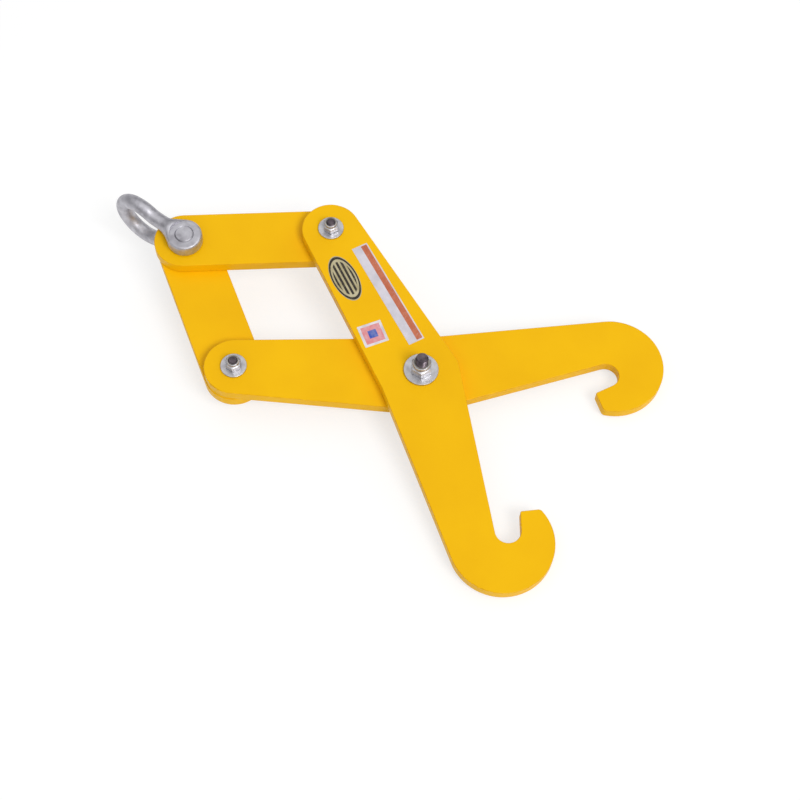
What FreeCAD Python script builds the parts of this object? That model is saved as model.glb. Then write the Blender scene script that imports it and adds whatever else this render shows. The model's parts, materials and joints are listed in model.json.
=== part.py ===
import FreeCAD, Part
import math
import os
import Sketcher

# Lifting tongs with two crossed plate arms, two plate links and a screw pin bow shackle.
# The tongs lie flat: +Z is the plate normal, +Y runs along the line of symmetry to the shackle.
# The origin is the middle of the footprint, at the lowest point.

SIZES = {
    # plates
    "plate_thickness": 12.7,
    "plate_gap": 0.4,
    "plate_edge_radius": 0.9,
    # links, from pivot to pivot
    "link_length": 154.0,
    "link_width": 62.0,
    # both links lean the same way on the loose shackle pin, as the tongs lie
    "front_link_lean": 1.6,
    "rear_link_lean": 1.05,
    # where the pin lies on the way from the rear link's hole to the front link's
    "pin_seat_share": 0.4,
    # arms, measured in the arm's own frame: origin on the centre pivot, y towards the link pivot
    "arm_reach": 188.5,
    "arm_end_radius": 30.2,
    "waist_inner": 43.6,
    "waist_inner_rise": 2.3,
    "waist_outer": 37.9,
    "waist_outer_drop": 8.6,
    "waist_corner_radius": 14.0,
    "hook_radius": 51.3,
    "hook_centre_out": 23.7,
    "hook_centre_drop": 195.2,
    "throat_width": 25.4,
    "throat_centre_out": 12.4,
    "throat_centre_drop": 188.1,
    "tip_in": 8.2,
    "tip_drop": 177.0,
    "tip_face_slope": 22.5,
    "tip_corner_radius": 5.0,
    "tip_edge_radius": 2.0,
    # half angle between the arms at the centre pivot, as the tongs lie
    "arm_half_angle": 28.9,
    # pivot fasteners
    "pivot_clearance": 0.1,
    "washer_clearance": 0.4,
    "thread_clearance": 0.05,
    "slide_gap": 0.3,
    "centre_bolt_diameter": 12.7,
    "centre_head_width": 19.05,
    "centre_head_height": 7.9,
    "centre_washer_diameter": 34.9,
    "centre_washer_thickness": 2.7,
    "centre_nut_height": 15.0,
    "centre_bolt_stand": 9.5,
    "link_bolt_diameter": 9.53,
    "link_head_width": 14.29,
    "link_head_height": 6.0,
    "link_washer_diameter": 26.5,
    "link_washer_thickness": 2.1,
    "link_nut_height": 11.2,
    "link_bolt_stand": 0.9,
    "bolt_end_chamfer": 1.2,
    "hex_chamfer": 0.5,
    "hex_chamfer_angle": 30.0,
    "washer_edge_radius": 0.45,
    "nut_collar_share": 0.3,
    "nut_collar_inset": 0.8,
    "insert_wall": 0.8,
    "insert_lip": 0.5,
    # shackle
    "shackle_pin_diameter": 19.05,
    "shackle_hole_clearance": 4.3,
    "ear_clearance": 0.1,
    "jaw_clearance": 0.6,
    "ear_diameter": 36.8,
    "ear_thickness": 15.0,
    "ear_edge_radius": 2.6,
    "ear_countersink": 0.5,
    "bow_stock": 16.0,
    "bow_flare": 5.0,
    "bow_length": 77.0,
    "leg_clearance": 0.15,
    "collar_room": 0.6,
    "leg_flare_radius": 30.0,
    "shackle_swing": 4.1,
    "pin_end_stand": 0.8,
    "pin_end_chamfer": 1.0,
    "collar_diameter": 30.0,
    "collar_thickness": 5.0,
    "collar_edge_radius": 1.6,
    "eye_diameter": 30.0,
    "eye_thickness": 12.0,
    "eye_hole": 13.0,
    "eye_overlap": 3.0,
    "eye_edge_radius": 2.5,
    # blank labels on the front arm; heights are from the middle of the arm between its pivots
    "label_thickness": 0.25,
    "strip_width": 17.3,
    "strip_centre_gap": 30.3,
    "strip_pivot_gap": 32.5,
    "strip_out": 14.1,
    "strip_turn": 1.5,
    "oval_width": 27.2,
    "oval_length": 56.4,
    "oval_in": 15.8,
    "oval_above": 35.2,
    "oval_turn": 3.4,
    "square_width": 25.3,
    "square_height": 25.0,
    "square_in": 22.1,
    "square_below": 35.0,
    "square_turn": 8.0,
}

# Sketch points and axes, by the numbers that constraints use for them
START, END, CENTRE = range(1, 4)
Y_AXIS, X_AXIS = range(-2, 0)
ROOT = X_AXIS

# Nearness of two places that count as one, and of a sharp corner to where it was drawn
SAME = 1e-6
CORNER_REACH = 0.5

Vector = FreeCAD.Vector
UP = Vector(0, 0, 1)

doc = FreeCAD.newDocument("lifting_tongs")
sheet = doc.addObject("Spreadsheet::Sheet", "Sizes")
for row, (name, value) in enumerate(SIZES.items(), start=1):
    sheet.set("A%d" % row, name)
    sheet.set("B%d" % row, str(value))
    sheet.setAlias("B%d" % row, name)
doc.recompute()


def size(name):
    return float(sheet.get(name))


# Values worked out from the sizes
JAW = "(2 * Sizes.plate_thickness + Sizes.plate_gap + 2 * Sizes.jaw_clearance)"
jaw = 2 * size("plate_thickness") + size("plate_gap") + 2 * size("jaw_clearance")
arm_angle = size("arm_half_angle")
link_angle = math.degrees(math.asin(
    size("arm_reach") * math.sin(math.radians(arm_angle)) / size("link_length")))
pivot_out = size("arm_reach") * math.sin(math.radians(arm_angle))
pivot_up = size("arm_reach") * math.cos(math.radians(arm_angle))
front_turn = link_angle - size("front_link_lean")
rear_turn = -link_angle - size("rear_link_lean")


def link_top(out, turn):
    # middle of a link's shackle hole, from the place of its arm pivot and its turn
    return Vector(out, pivot_up) + FreeCAD.Rotation(UP, turn).multVec(Vector(0, size("link_length")))


# The shackle pin lies between the middles of the two holes that it passes through
front_top = link_top(pivot_out, front_turn)
rear_top = link_top(-pivot_out, rear_turn)
pin_seat = rear_top + (front_top - rear_top) * size("pin_seat_share")

# Heights of the three layers of plate above the back of the rear link
layer_pitch = size("plate_thickness") + size("plate_gap")
rear_layer = 0.0
middle_layer = layer_pitch
front_layer = 2 * layer_pitch
jaw_middle = middle_layer - size("plate_gap") / 2

# The middle of the footprint and the lowest point, in the frame of the centre pivot
eye_centre_drop = (jaw / 2 + size("ear_thickness") + size("collar_thickness")
                   + size("eye_diameter") / 2 - size("eye_overlap"))
lowest = jaw_middle - eye_centre_drop - size("eye_diameter") / 2
hook_y = (size("hook_centre_out") * math.sin(math.radians(arm_angle))
          - size("hook_centre_drop") * math.cos(math.radians(arm_angle)) - size("hook_radius"))
crown_reach = size("bow_length") + size("bow_stock") / 2
crown_y = (pin_seat.y + crown_reach * math.cos(math.radians(size("shackle_swing")))
           + size("bow_stock") / 2)
FRAME = FreeCAD.Placement(Vector(0, -(hook_y + crown_y) / 2, -lowest), FreeCAD.Rotation())


def turned(x, y, z, degrees):
    return FreeCAD.Placement(Vector(x, y, z), FreeCAD.Rotation(UP, degrees))


FRONT_ARM = FRAME.multiply(turned(0, 0, front_layer, -arm_angle))
REAR_ARM = FRAME.multiply(turned(0, 0, middle_layer + size("plate_thickness"), arm_angle)).multiply(
    FreeCAD.Placement(Vector(), FreeCAD.Rotation(Vector(0, 1, 0), 180)))
FRONT_LINK = FRAME.multiply(turned(front_top.x, front_top.y, middle_layer, front_turn))
REAR_LINK = FRAME.multiply(turned(rear_top.x, rear_top.y, rear_layer, rear_turn))
SHACKLE = FRAME.multiply(turned(pin_seat.x, pin_seat.y, jaw_middle, -size("shackle_swing")))


# Helpers for bodies, sketches and edges
def new_body(label):
    body = doc.addObject("PartDesign::Body", label)
    body.Label = label
    body.AllowCompound = True
    return body


def new_sketch(body, name, role):
    sketch = body.newObject("Sketcher::SketchObject", name)
    plane = [feature for feature in body.Origin.OriginFeatures if feature.Role == role][0]
    sketch.AttachmentSupport = [(plane, "")]
    sketch.MapMode = "FlatFace"
    return sketch


def bind(sketch, constraint, expression):
    index = sketch.addConstraint(constraint)
    sketch.setExpression("Constraints[%d]" % index, expression)


def across(sketch, geometry, point, expression, value):
    if value > 0:
        bind(sketch, Sketcher.Constraint("DistanceX", ROOT, START, geometry, point, value), expression)
    else:
        bind(sketch, Sketcher.Constraint("DistanceX", geometry, point, ROOT, START, -value), expression)


def along(sketch, geometry, point, expression, value):
    if value > 0:
        bind(sketch, Sketcher.Constraint("DistanceY", ROOT, START, geometry, point, value), expression)
    else:
        bind(sketch, Sketcher.Constraint("DistanceY", geometry, point, ROOT, START, -value), expression)


def join(sketch, kind, pairs):
    for first, first_end, second, second_end in pairs:
        sketch.addConstraint(Sketcher.Constraint(kind, first, first_end, second, second_end))


def set_radius(sketch, geometry, expression, value):
    bind(sketch, Sketcher.Constraint("Radius", geometry, value), expression)


def arc(centre, radius, start, end):
    return Part.ArcOfCircle(Part.Circle(centre, UP, radius), start, end)


def line(start, end):
    return Part.LineSegment(start, end)


def touch_angle(point, centre, radius, side):
    # angle on a circle where the line from an outside point touches it, on the given side
    away = point - centre
    return math.atan2(away.y, away.x) + side * math.acos(radius / away.Length)


def on_circle(centre, radius, angle):
    return centre + Vector(radius * math.cos(angle), radius * math.sin(angle))


def add_round(body, name, kind, radius, height, base=None, rotation=None):
    # a cylinder added to or taken from a body; sizes are expressions, base is x, y, z expressions
    cylinder = body.newObject("PartDesign::%sCylinder" % kind, name)
    if rotation is not None:
        cylinder.Placement = FreeCAD.Placement(Vector(), rotation)
    cylinder.setExpression("Radius", radius)
    cylinder.setExpression("Height", height)
    for axis, expression in zip("xyz", base or ()):
        cylinder.setExpression("Placement.Base.%s" % axis, expression)
    doc.recompute()
    return cylinder


def dress(body, kind, name, base, edges, prop, expression):
    feature = body.newObject("PartDesign::%s" % kind, name)
    feature.Base = (base, edges)
    feature.setExpression(prop, expression)
    doc.recompute()
    return feature


def edges_where(feature, test):
    return ["Edge%d" % (i + 1) for i, edge in enumerate(feature.Shape.Edges) if test(edge)]


def upright_edges(feature, *corners):
    # the edges along Z that stand at the given corners of an outline
    def test(edge):
        box = edge.BoundBox
        upright = box.XLength < SAME and box.YLength < SAME
        return upright and any(
            math.hypot(box.Center.x - corner.x, box.Center.y - corner.y) < CORNER_REACH for corner in corners)
    return edges_where(feature, test)


def rim_edges(feature, radius, z):
    # the full circles of a radius at a height
    def test(edge):
        if not isinstance(edge.Curve, Part.Circle) or not edge.isClosed():
            return False
        return abs(edge.Curve.Radius - radius) < SAME and abs(edge.Curve.Center.z - z) < SAME
    return edges_where(feature, test)


def ease_outline(body, feature):
    # round the painted edges of a plate, but not those of its holes
    def outline(edge):
        level = edge.BoundBox.ZLength < SAME
        return level and not edge.isClosed()
    return dress(body, "Fillet", "EasedEdges", feature, edges_where(feature, outline),
                 "Radius", "Sizes.plate_edge_radius")


BORE = "(Sizes.%s / 2 + Sizes.%s)"
CENTRE_BORE = BORE % ("centre_bolt_diameter", "pivot_clearance")
LINK_BORE = BORE % ("link_bolt_diameter", "pivot_clearance")
SHACKLE_BORE = BORE % ("shackle_pin_diameter", "shackle_hole_clearance")

# A hexagon's corners, from its width over the flats
HEXAGON = 6
CORNER_OUT = "(Sizes.%%s / 2 / cos(180 deg / %d))" % HEXAGON


# Arm plates
def make_arm(label, placement):
    body = new_body(label)
    sketch = new_sketch(body, "Outline", "XY_Plane")
    pivot = Vector(0, size("arm_reach"))
    inner = Vector(-size("waist_inner"), size("waist_inner_rise"))
    outer = Vector(size("waist_outer"), -size("waist_outer_drop"))
    hook = Vector(-size("hook_centre_out"), -size("hook_centre_drop"))
    throat = Vector(-size("throat_centre_out"), -size("throat_centre_drop"))
    tip = Vector(size("tip_in"), -size("tip_drop"))
    end_radius = size("arm_end_radius")
    hook_radius = size("hook_radius")
    throat_radius = size("throat_width") / 2
    centre_radius = size("centre_bolt_diameter") / 2 + size("pivot_clearance")
    link_radius = size("link_bolt_diameter") / 2 + size("pivot_clearance")
    corner_radius = size("tip_corner_radius")
    slope = math.radians(size("tip_face_slope"))

    end_left = touch_angle(inner, pivot, end_radius, -1)
    end_right = touch_angle(outer, pivot, end_radius, 1)
    hook_left = touch_angle(inner, hook, hook_radius, 1)
    throat_right = touch_angle(tip, throat, throat_radius, -1)
    throat_left = touch_angle(outer, throat, throat_radius, 1)

    # the rounded outer corner of the tip touches the tip face and the hook's outer arc
    face = Vector(math.cos(slope), -math.sin(slope))
    inward = Vector(-math.sin(slope), -math.cos(slope))
    foot = tip + inward * corner_radius - hook
    half = foot.dot(face)
    run = -half + math.sqrt(half * half - foot.dot(foot) + (hook_radius - corner_radius) ** 2)
    corner = tip + inward * corner_radius + face * run
    corner_start = math.atan2(corner.y - hook.y, corner.x - hook.x)
    corner_end = math.atan2(-inward.y, -inward.x)

    turn = 2 * math.pi
    outline = [
        arc(pivot, end_radius, end_right, end_left % turn),
        line(on_circle(pivot, end_radius, end_left), inner),
        line(inner, on_circle(hook, hook_radius, hook_left)),
        arc(hook, hook_radius, hook_left % turn, corner_start + turn),
        arc(corner, corner_radius, corner_start, corner_end),
        line(tip + face * run, tip),
        line(tip, on_circle(throat, throat_radius, throat_right)),
        arc(throat, throat_radius, throat_left % turn, throat_right % turn),
        line(on_circle(throat, throat_radius, throat_left), outer),
        line(outer, on_circle(pivot, end_radius, end_right)),
    ]
    names = sketch.addGeometry(outline, False)
    end, upper, lower, bend, tip_round, tip_face, wall, seat, back, flank = names
    join(sketch, "Tangent", [
        (end, END, upper, START), (lower, END, bend, START), (bend, END, tip_round, START),
        (tip_round, END, tip_face, START), (wall, END, seat, END), (seat, START, back, START),
        (flank, END, end, START)])
    join(sketch, "Coincident", [
        (upper, END, lower, START), (tip_face, END, wall, START), (back, END, flank, START)])
    sketch.addConstraint(Sketcher.Constraint("PointOnObject", end, CENTRE, Y_AXIS))
    along(sketch, end, CENTRE, "Sizes.arm_reach", pivot.y)
    set_radius(sketch, end, "Sizes.arm_end_radius", end_radius)
    across(sketch, upper, END, "Sizes.waist_inner", inner.x)
    along(sketch, upper, END, "Sizes.waist_inner_rise", inner.y)
    across(sketch, back, END, "Sizes.waist_outer", outer.x)
    along(sketch, back, END, "Sizes.waist_outer_drop", outer.y)
    across(sketch, bend, CENTRE, "Sizes.hook_centre_out", hook.x)
    along(sketch, bend, CENTRE, "Sizes.hook_centre_drop", hook.y)
    set_radius(sketch, bend, "Sizes.hook_radius", hook_radius)
    across(sketch, seat, CENTRE, "Sizes.throat_centre_out", throat.x)
    along(sketch, seat, CENTRE, "Sizes.throat_centre_drop", throat.y)
    set_radius(sketch, seat, "Sizes.throat_width / 2", throat_radius)
    across(sketch, tip_face, END, "Sizes.tip_in", tip.x)
    along(sketch, tip_face, END, "Sizes.tip_drop", tip.y)
    set_radius(sketch, tip_round, "Sizes.tip_corner_radius", corner_radius)
    bind(sketch, Sketcher.Constraint("Angle", tip_face, math.pi - slope),
         "(180 - Sizes.tip_face_slope) * 1 deg")

    centre_hole, link_hole = sketch.addGeometry([
        Part.Circle(Vector(), UP, centre_radius), Part.Circle(pivot, UP, link_radius)], False)
    join(sketch, "Coincident", [(centre_hole, CENTRE, ROOT, START), (link_hole, CENTRE, end, CENTRE)])
    set_radius(sketch, centre_hole, CENTRE_BORE, centre_radius)
    set_radius(sketch, link_hole, LINK_BORE, link_radius)

    plate = body.newObject("PartDesign::Pad", "Plate")
    plate.Profile = sketch
    plate.setExpression("Length", "Sizes.plate_thickness")
    doc.recompute()
    waisted = dress(body, "Fillet", "WaistCorners", plate, upright_edges(plate, inner, outer),
                    "Radius", "Sizes.waist_corner_radius")
    tipped = dress(body, "Fillet", "TipEdge", waisted, upright_edges(waisted, tip),
                   "Radius", "Sizes.tip_edge_radius")
    ease_outline(body, tipped)
    body.Placement = placement
    return body


# Link plates, from the shackle hole at the origin down to the arm pivot
def make_link(label, placement):
    body = new_body(label)
    sketch = new_sketch(body, "Outline", "XY_Plane")
    radius = size("link_width") / 2
    foot = Vector(0, -size("link_length"))
    side = Vector(radius, 0)
    shackle_radius = size("shackle_pin_diameter") / 2 + size("shackle_hole_clearance")
    pivot_radius = size("link_bolt_diameter") / 2 + size("pivot_clearance")
    top, left, bottom, right, shackle_hole, pivot_hole = sketch.addGeometry([
        arc(Vector(), radius, 0, math.pi),
        line(-side, foot - side),
        arc(foot, radius, math.pi, 2 * math.pi),
        line(foot + side, side),
        Part.Circle(Vector(), UP, shackle_radius),
        Part.Circle(foot, UP, pivot_radius)], False)
    join(sketch, "Tangent", [
        (top, END, left, START), (left, END, bottom, START),
        (bottom, END, right, START), (right, END, top, START)])
    join(sketch, "Coincident", [
        (top, CENTRE, ROOT, START), (shackle_hole, CENTRE, ROOT, START),
        (pivot_hole, CENTRE, bottom, CENTRE)])
    sketch.addConstraint(Sketcher.Constraint("PointOnObject", bottom, CENTRE, Y_AXIS))
    along(sketch, bottom, CENTRE, "Sizes.link_length", foot.y)
    set_radius(sketch, bottom, "Sizes.link_width / 2", radius)
    set_radius(sketch, shackle_hole, SHACKLE_BORE, shackle_radius)
    set_radius(sketch, pivot_hole, LINK_BORE, pivot_radius)
    plate = body.newObject("PartDesign::Pad", "Plate")
    plate.Profile = sketch
    plate.setExpression("Length", "Sizes.plate_thickness")
    doc.recompute()
    ease_outline(body, plate)
    body.Placement = placement
    return body


# Hexagon with its corners taken off by a cone at one end
def chamfer_hexagon(body, name, flats, level, inward):
    # flats names the width, level is the height of the chamfered face as an expression and a value,
    # and inward is 1 or -1, the way along the axis into the metal
    sketch = new_sketch(body, name + "Profile", "XZ_Plane")
    inner = size(flats) / 2 - size("hex_chamfer")
    outer = size(flats) / 2 / math.cos(math.pi / HEXAGON) + size("hex_chamfer")
    depth = math.tan(math.radians(size("hex_chamfer_angle"))) * (outer - inner)
    inner_expression = "(Sizes.%s / 2 - Sizes.hex_chamfer)" % flats
    outer_expression = "(%s + Sizes.hex_chamfer)" % (CORNER_OUT % flats)
    height, top = level
    rim, edge, cone = sketch.addGeometry([
        line(Vector(inner, top), Vector(outer, top)),
        line(Vector(outer, top), Vector(outer, top + inward * depth)),
        line(Vector(outer, top + inward * depth), Vector(inner, top))], False)
    join(sketch, "Coincident", [(rim, END, edge, START), (edge, END, cone, START), (cone, END, rim, START)])
    sketch.addConstraint(Sketcher.Constraint("Horizontal", rim))
    sketch.addConstraint(Sketcher.Constraint("Vertical", edge))
    across(sketch, rim, START, inner_expression, inner)
    across(sketch, rim, END, outer_expression, outer)
    if abs(top) < SAME:
        sketch.addConstraint(Sketcher.Constraint("PointOnObject", rim, START, X_AXIS))
    else:
        along(sketch, rim, START, height, top)
    lower_end, upper_end = (START, END) if inward > 0 else (END, START)
    bind(sketch, Sketcher.Constraint("DistanceY", edge, lower_end, edge, upper_end, depth),
         "tan(Sizes.hex_chamfer_angle * 1 deg) * (%s - %s)" % (outer_expression, inner_expression))
    groove = body.newObject("PartDesign::Groove", name)
    groove.Profile = sketch
    groove.ReferenceAxis = (sketch, ["V_Axis"])
    groove.Angle = 360
    doc.recompute()
    return groove


def add_hexagon(body, name, flats, height):
    prism = body.newObject("PartDesign::AdditivePrism", name)
    prism.Polygon = HEXAGON
    prism.setExpression("Circumradius", CORNER_OUT % flats)
    prism.setExpression("Height", height)
    doc.recompute()
    return prism


# Pivot fasteners; kind is centre or link, base is the lowest sliding face of the two plates
def make_bolt(label, kind, placement):
    body = new_body(label)
    head = "Sizes.%s_head_height" % kind
    add_hexagon(body, "Head", "%s_head_width" % kind, head)
    chamfer_hexagon(body, "HeadChamfer", "%s_head_width" % kind, ("0", 0.0), 1)
    length = ("%s + 2 * Sizes.plate_thickness + Sizes.plate_gap + Sizes.slide_gap"
              " + 2 * Sizes.%s_washer_thickness + Sizes.%s_nut_height + Sizes.%s_bolt_stand")
    shank = add_round(body, "Shank", "Additive", "Sizes.%s_bolt_diameter / 2" % kind,
                      length % (head, kind, kind, kind))
    tip = rim_edges(shank, size("%s_bolt_diameter" % kind) / 2, shank.Height.Value)
    dress(body, "Chamfer", "EndChamfer", shank, tip, "Size", "Sizes.bolt_end_chamfer")
    body.Placement = placement
    return body


def make_washer(label, kind, placement):
    body = new_body(label)
    thickness = "Sizes.%s_washer_thickness" % kind
    disc = add_round(body, "Disc", "Additive", "Sizes.%s_washer_diameter / 2" % kind, thickness)
    dress(body, "Fillet", "EasedRim", disc, edges_where(disc, lambda edge: edge.isClosed()),
          "Radius", "Sizes.washer_edge_radius")
    add_round(body, "Hole", "Subtractive", BORE % ("%s_bolt_diameter" % kind, "washer_clearance"), thickness)
    body.Placement = placement
    return body


def make_nut(label, kind, placement):
    body = new_body(label)
    height = "Sizes.%s_nut_height" % kind
    flats = "%s_head_width" % kind
    hexagon = height + " * (1 - Sizes.nut_collar_share)"
    hexagon_height = size("%s_nut_height" % kind) * (1 - size("nut_collar_share"))
    add_hexagon(body, "Hexagon", flats, hexagon)
    chamfer_hexagon(body, "LowerChamfer", flats, ("0", 0.0), 1)
    chamfer_hexagon(body, "UpperChamfer", flats, (hexagon, hexagon_height), -1)
    collar_radius = "Sizes.%s / 2 - Sizes.nut_collar_inset" % flats
    collar = add_round(body, "Collar", "Additive", collar_radius, height)
    rim = rim_edges(collar, size(flats) / 2 - size("nut_collar_inset"), collar.Height.Value)
    dress(body, "Fillet", "CollarRim", collar, rim, "Radius", "Sizes.insert_wall")
    add_round(body, "Thread", "Subtractive", BORE % ("%s_bolt_diameter" % kind, "thread_clearance"), height)
    add_round(body, "InsertSeat", "Subtractive", collar_radius + " - Sizes.insert_wall",
              height + " * Sizes.nut_collar_share", ("0", "0", hexagon))
    body.Placement = placement
    return body


def make_insert(label, kind, placement):
    body = new_body(label)
    height = "Sizes.%s_nut_height * Sizes.nut_collar_share - Sizes.insert_lip" % kind
    seat = "Sizes.%s_head_width / 2 - Sizes.nut_collar_inset - Sizes.insert_wall" % kind
    add_round(body, "Ring", "Additive", seat + " - Sizes.thread_clearance", height)
    add_round(body, "Hole", "Subtractive", BORE % ("%s_bolt_diameter" % kind, "thread_clearance"), height)
    body.Placement = placement
    return body


def make_pivot(prefix, kind, x, y, back, turn):
    # bolt head and washer behind the rear plate, washer and lock nut on the front plate
    washer = size("%s_washer_thickness" % kind)
    front = back + 2 * size("plate_thickness") + size("plate_gap")
    under = back - size("slide_gap") - washer
    nut = front + washer
    seat = nut + size("%s_nut_height" % kind) * (1 - size("nut_collar_share"))

    def at(z):
        return FRAME.multiply(turned(x, y, z, turn))

    return [
        make_bolt(prefix + "_bolt", kind, at(under - size("%s_head_height" % kind))),
        make_washer(prefix + "_rear_washer", kind, at(under)),
        make_washer(prefix + "_front_washer", kind, at(front)),
        make_nut(prefix + "_lock_nut", kind, at(nut)),
        make_insert(prefix + "_nut_insert", kind, at(seat)),
    ]


# Shackle bow: two forged ears and a round bar bent into a bow, bow along +Y, pin along Z
def make_bow(label, placement):
    body = new_body(label)
    ear_radius = "Sizes.ear_diameter / 2"
    add_round(body, "FrontEar", "Additive", ear_radius, "Sizes.ear_thickness", ("0", "0", JAW + " / 2"))
    ears = add_round(body, "RearEar", "Additive", ear_radius, "Sizes.ear_thickness",
                     ("0", "0", "-%s / 2 - Sizes.ear_thickness" % JAW))
    dress(body, "Fillet", "EarEdges", ears, edges_where(ears, lambda edge: edge.isClosed()),
          "Radius", "Sizes.ear_edge_radius")

    spine = new_sketch(body, "BowLine", "YZ_Plane")
    leg = jaw / 2 + size("leg_clearance") + size("bow_stock") / 2
    leg_expression = JAW + " / 2 + Sizes.leg_clearance + Sizes.bow_stock / 2"
    foot = size("collar_diameter") / 2 + size("collar_room")
    foot_expression = "(Sizes.collar_diameter / 2 + Sizes.collar_room)"
    bow_radius = leg + size("bow_flare")
    flare = size("leg_flare_radius")
    middle = size("bow_length") + size("bow_stock") / 2 - bow_radius
    rise = math.sqrt((flare + bow_radius) ** 2 - (flare + leg) ** 2)
    lean = math.asin(rise / (flare + bow_radius))
    start = middle - rise
    centre = Vector(middle, 0)
    upper_centre = Vector(start, leg + flare)
    lower_centre = Vector(start, -leg - flare)
    bow_line = spine.addGeometry([
        line(Vector(foot, leg), Vector(start, leg)),
        arc(upper_centre, flare, -math.pi / 2, -math.pi / 2 + lean),
        arc(centre, bow_radius, -math.pi / 2 - lean, math.pi / 2 + lean),
        arc(lower_centre, flare, math.pi / 2 - lean, math.pi / 2),
        line(Vector(start, -leg), Vector(foot, -leg))], False)
    front_leg, front_flare, bow, rear_flare, rear_leg = bow_line
    join(spine, "Tangent", [
        (front_leg, END, front_flare, START), (front_flare, END, bow, END),
        (bow, START, rear_flare, START), (rear_flare, END, rear_leg, START)])
    spine.addConstraint(Sketcher.Constraint("Horizontal", front_leg))
    spine.addConstraint(Sketcher.Constraint("Horizontal", rear_leg))
    across(spine, front_leg, START, foot_expression, foot)
    across(spine, rear_leg, END, foot_expression, foot)
    spine.addConstraint(Sketcher.Constraint("PointOnObject", bow, CENTRE, X_AXIS))
    along(spine, front_leg, START, leg_expression, leg)
    along(spine, rear_leg, END, leg_expression, -leg)
    set_radius(spine, front_flare, "Sizes.leg_flare_radius", flare)
    set_radius(spine, rear_flare, "Sizes.leg_flare_radius", flare)
    set_radius(spine, bow, leg_expression + " + Sizes.bow_flare", bow_radius)
    across(spine, bow, CENTRE,
           "Sizes.bow_length + Sizes.bow_stock / 2 - Sizes.bow_flare - (%s)" % leg_expression, middle)

    section = new_sketch(body, "BarSection", "XZ_Plane")
    section.setExpression("AttachmentOffset.Base.z", "-" + foot_expression)
    bar = section.addGeometry(Part.Circle(Vector(0, leg), UP, size("bow_stock") / 2), False)
    section.addConstraint(Sketcher.Constraint("PointOnObject", bar, CENTRE, Y_AXIS))
    along(section, bar, CENTRE, leg_expression, leg)
    set_radius(section, bar, "Sizes.bow_stock / 2", size("bow_stock") / 2)
    doc.recompute()

    pipe = body.newObject("PartDesign::AdditivePipe", "Bow")
    pipe.Profile = section
    pipe.Spine = (spine, ["Edge%d" % (i + 1) for i in range(len(bow_line))])
    doc.recompute()
    bored = add_round(body, "PinHole", "Subtractive", BORE % ("shackle_pin_diameter", "ear_clearance"),
                      JAW + " + 2 * Sizes.ear_thickness", ("0", "0", "-%s / 2 - Sizes.ear_thickness" % JAW))
    front = rim_edges(bored, size("shackle_pin_diameter") / 2 + size("ear_clearance"),
                      jaw / 2 + size("ear_thickness"))
    dress(body, "Chamfer", "Countersink", bored, front, "Size", "Sizes.ear_countersink")
    body.Placement = placement
    return body


# Shackle pin: screwed shank, shoulder and a flat eye for tightening, eye behind the rear ear
def make_pin(label, placement):
    body = new_body(label)
    back = "(%s / 2 + Sizes.ear_thickness)" % JAW
    shank = add_round(body, "Shank", "Additive", "Sizes.shackle_pin_diameter / 2",
                      "2 * %s + Sizes.pin_end_stand" % back, ("0", "0", "-" + back))
    end = rim_edges(shank, size("shackle_pin_diameter") / 2,
                    jaw / 2 + size("ear_thickness") + size("pin_end_stand"))
    dress(body, "Chamfer", "EndChamfer", shank, end, "Size", "Sizes.pin_end_chamfer")
    collar = add_round(body, "Shoulder", "Additive", "Sizes.collar_diameter / 2", "Sizes.collar_thickness",
                       ("0", "0", "-%s - Sizes.collar_thickness" % back))
    rim = rim_edges(collar, size("collar_diameter") / 2,
                    -jaw / 2 - size("ear_thickness") - size("collar_thickness"))
    dress(body, "Fillet", "ShoulderRim", collar, rim, "Radius", "Sizes.collar_edge_radius")
    sideways = FreeCAD.Rotation(Vector(0, 1, 0), 90)
    centre = "-%s - Sizes.collar_thickness - Sizes.eye_diameter / 2 + Sizes.eye_overlap" % back
    eye = add_round(body, "Eye", "Additive", "Sizes.eye_diameter / 2", "Sizes.eye_thickness",
                    ("-Sizes.eye_thickness / 2", "0", centre), sideways)
    flat = size("eye_thickness") / 2

    def eye_rim(edge):
        box = edge.BoundBox
        return box.XLength < SAME and abs(abs(box.Center.x) - flat) < SAME and box.ZLength > flat

    dress(body, "Fillet", "EyeEdges", eye, edges_where(eye, eye_rim), "Radius", "Sizes.eye_edge_radius")
    add_round(body, "EyeHole", "Subtractive", "Sizes.eye_hole / 2", "Sizes.eye_thickness",
              ("-Sizes.eye_thickness / 2", "0", centre), sideways)
    body.Placement = placement
    return body


# Blank labels stuck to the front arm between its two pivots
def on_front_arm(x, y, turn):
    return FRONT_ARM.multiply(turned(x, y, size("plate_thickness"), turn))


def make_plain_label(label, width, height, place):
    # width and height are expressions, place is the middle of the film
    film = doc.addObject("Part::Box", label)
    film.Label = label
    film.setExpression("Length", width)
    film.setExpression("Width", height)
    film.setExpression("Height", "Sizes.label_thickness")
    doc.recompute()
    corner = Vector(-film.Length.Value / 2, -film.Width.Value / 2)
    film.Placement = place.multiply(FreeCAD.Placement(corner, FreeCAD.Rotation()))
    return film


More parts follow.
